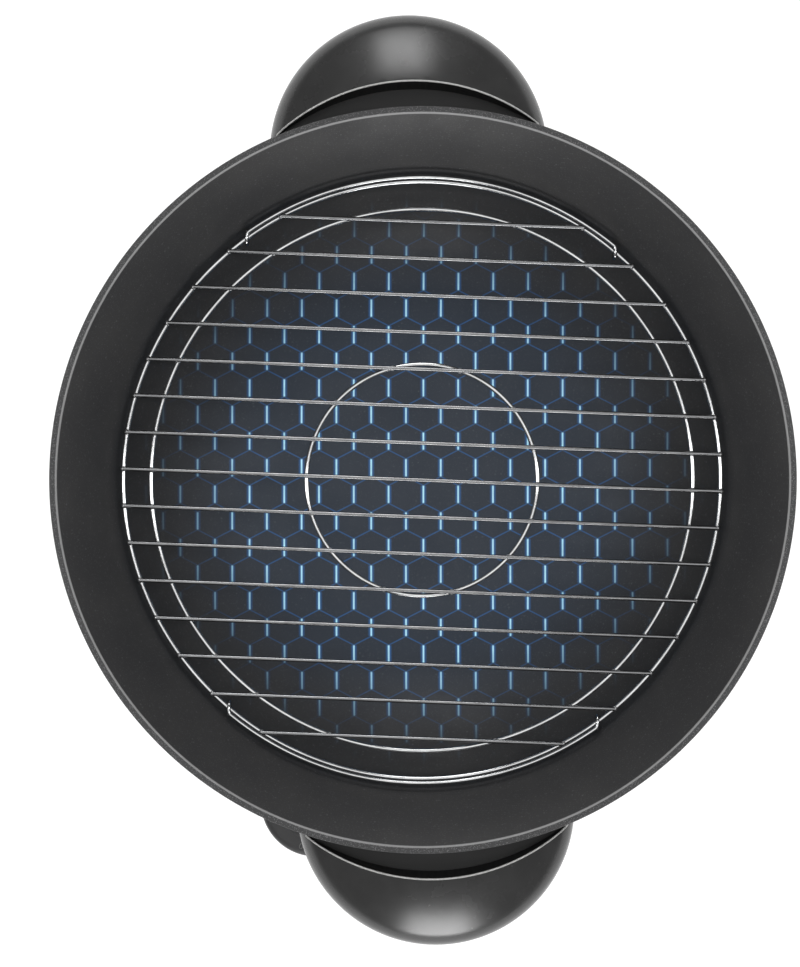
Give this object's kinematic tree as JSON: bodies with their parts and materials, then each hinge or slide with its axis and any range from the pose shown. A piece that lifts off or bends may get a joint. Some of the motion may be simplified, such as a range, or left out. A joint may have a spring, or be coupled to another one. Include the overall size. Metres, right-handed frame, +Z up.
{
  "type": "electric wok",
  "caption": "Electric wok: round non-stick bowl on a waisted stand, half-moon side handles, plug-in control probe with dial, wire steaming rack with folding lift handles.",
  "frame": {"origin": "on the surface the wok stands on, under the middle of the bowl", "axes": "+Z up, the side handles on +X and -X, the front towards -Y"},
  "size_m": [0.502, 0.3874, 0.1609],
  "materials": {
    "nonstick_coat": "cast aluminium under a charcoal non-stick coat",
    "heater_sheath": "dull sheath",
    "steel_pins": "drawn steel",
    "insulator": "unglazed",
    "black_moulding": "fine-grained black moulding",
    "steel_screws": "zinc-plated",
    "handle_moulding": "satin black moulding",
    "shield_sheet": "mill finish sheet",
    "rubber_feet": "matt black",
    "rack_wire": "plated wire",
    "probe_moulding": "satin black moulding",
    "contact_brass": "sprung contact",
    "insulator_block": "brown phenolic",
    "lens_red": "clear red",
    "lamp_glass": "neon lamp",
    "gland_rubber": "black",
    "dial_moulding": "satin black moulding"
  },
  "bodies": {
    "base": {"stand_skirt": "black_moulding", "bottom_plate": "black_moulding", "heat_shield": "shield_sheet", "rubber_feet": "rubber_feet", "stand_screws": "steel_screws"},
    "pan": {"wok_pan": "nonstick_coat", "heating_element": "heater_sheath", "terminal_pins": "steel_pins", "pin_insulators": "insulator", "terminal_guard": "black_moulding", "guard_screws": "steel_screws", "handle_cover_right": "handle_moulding", "handle_cover_left": "handle_moulding", "handle_grip_right": "handle_moulding", "handle_grip_left": "handle_moulding", "handle_screws": "steel_screws"},
    "rack": {"rack_outer_ring": "rack_wire", "rack_middle_ring": "rack_wire", "rack_centre_ring": "rack_wire", "rack_cross_wires": "rack_wire"},
    "rack_handle_left": {"rack_lift_handle_left": "rack_wire"},
    "rack_handle_right": {"rack_lift_handle_right": "rack_wire"},
    "probe": {"probe_upper_shell": "probe_moulding", "probe_lower_shell": "probe_moulding", "probe_screws": "steel_screws", "sensor_rod": "steel_pins", "contact_sleeves": "contact_brass", "thermostat_block": "insulator_block", "pilot_lens": "lens_red", "pilot_lamp": "lamp_glass", "cord_gland": "gland_rubber"},
    "dial": {"temperature_dial": "dial_moulding", "dial_shaft": "steel_pins"}
  },
  "joints": [
    {"name": "pan_lift", "type": "slide", "parent": "base", "child": "pan", "axis": [0, 0, 1], "range_m": [0, 0.1]},
    {"name": "rack_lift", "type": "slide", "parent": "pan", "child": "rack", "axis": [0, 0, 1], "range_m": [0, 0.1]},
    {"name": "rack_handle_left_fold", "type": "hinge", "parent": "rack", "child": "rack_handle_left", "pos_m": [-0.12668, 0.01008, 0.1175], "axis": [0.0793, 0.9968, 0], "range_deg": [0, 115]},
    {"name": "rack_handle_right_fold", "type": "hinge", "parent": "rack", "child": "rack_handle_right", "pos_m": [0.12668, -0.01008, 0.1175], "axis": [-0.0793, -0.9968, 0], "range_deg": [0, 115]},
    {"name": "probe_pull", "type": "slide", "parent": "pan", "child": "probe", "axis": [0.9367, -0.3502, 0], "range_m": [0, 0.08]},
    {"name": "dial_turn", "type": "hinge", "parent": "probe", "child": "dial", "pos_m": [0.18078, -0.06759, 0.0626], "axis": [0, 0, 1], "range_deg": [0, 270]}
  ]
}
